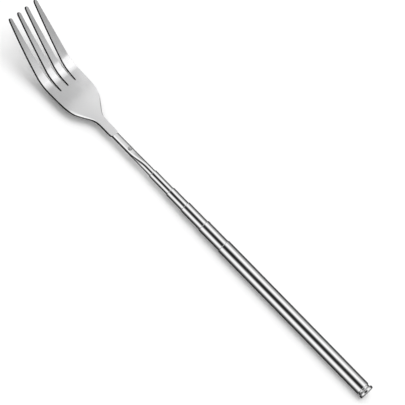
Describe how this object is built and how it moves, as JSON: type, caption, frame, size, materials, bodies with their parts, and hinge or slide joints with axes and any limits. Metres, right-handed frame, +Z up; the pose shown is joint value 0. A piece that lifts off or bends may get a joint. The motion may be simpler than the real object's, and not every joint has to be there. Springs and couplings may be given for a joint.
{
  "type": "telescopic roasting fork",
  "caption": "Telescopic stainless roasting fork, closed: flat pronged head with a dished bowl on a shaft of nested sliding tubes, with a rounded end plug.",
  "frame": {"origin": "centre of the end plug's flat tail face", "axes": "+X along the shaft towards the tines, +Z up out of the hollow side of the bowl"},
  "size_m": [0.2202, 0.0212, 0.0185],
  "materials": {
    "head_steel": "polished stainless steel",
    "tube_steel": "polished stainless steel",
    "plug_steel": "polished stainless steel",
    "rivet_steel": "plain stainless steel",
    "bush_brass": "turned brass",
    "spring_bronze": "rolled bronze strip"
  },
  "bodies": {
    "head_body": {"fork_head": "head_steel", "head_rivet": "rivet_steel", "tube_1": "tube_steel", "stop_bush_1": "bush_brass"},
    "spring_body_1": {"friction_spring_1": "spring_bronze"},
    "tube_body_2": {"tube_2": "tube_steel", "stop_bush_2": "bush_brass"},
    "spring_body_2": {"friction_spring_2": "spring_bronze"},
    "tube_body_3": {"tube_3": "tube_steel", "stop_bush_3": "bush_brass"},
    "spring_body_3": {"friction_spring_3": "spring_bronze"},
    "tube_body_4": {"tube_4": "tube_steel", "stop_bush_4": "bush_brass"},
    "spring_body_4": {"friction_spring_4": "spring_bronze"},
    "tube_body_5": {"tube_5": "tube_steel", "stop_bush_5": "bush_brass"},
    "spring_body_5": {"friction_spring_5": "spring_bronze"},
    "handle_body": {"handle_tube": "tube_steel", "end_plug": "plug_steel"}
  },
  "joints": [
    {"name": "swivel_1", "type": "hinge", "parent": "head_body", "child": "spring_body_1", "pos_m": [0.0425, 0, 0], "axis": [1, 0, 0], "continuous": true},
    {"name": "slide_1", "type": "slide", "parent": "spring_body_1", "child": "tube_body_2", "axis": [-1, 0, 0], "range_m": [0, 0.088]},
    {"name": "swivel_2", "type": "hinge", "parent": "tube_body_2", "child": "spring_body_2", "pos_m": [0.0351, 0, 0], "axis": [1, 0, 0], "continuous": true},
    {"name": "slide_2", "type": "slide", "parent": "spring_body_2", "child": "tube_body_3", "axis": [-1, 0, 0], "range_m": [0, 0.0846]},
    {"name": "swivel_3", "type": "hinge", "parent": "tube_body_3", "child": "spring_body_3", "pos_m": [0.0277, 0, 0], "axis": [1, 0, 0], "continuous": true},
    {"name": "slide_3", "type": "slide", "parent": "spring_body_3", "child": "tube_body_4", "axis": [-1, 0, 0], "range_m": [0, 0.0828]},
    {"name": "swivel_4", "type": "hinge", "parent": "tube_body_4", "child": "spring_body_4", "pos_m": [0.0203, 0, 0], "axis": [1, 0, 0], "continuous": true},
    {"name": "slide_4", "type": "slide", "parent": "spring_body_4", "child": "tube_body_5", "axis": [-1, 0, 0], "range_m": [0, 0.0788]},
    {"name": "swivel_5", "type": "hinge", "parent": "tube_body_5", "child": "spring_body_5", "pos_m": [0.0129, 0, 0], "axis": [1, 0, 0], "continuous": true},
    {"name": "slide_5", "type": "slide", "parent": "spring_body_5", "child": "handle_body", "axis": [-1, 0, 0], "range_m": [0, 0.0739]}
  ]
}
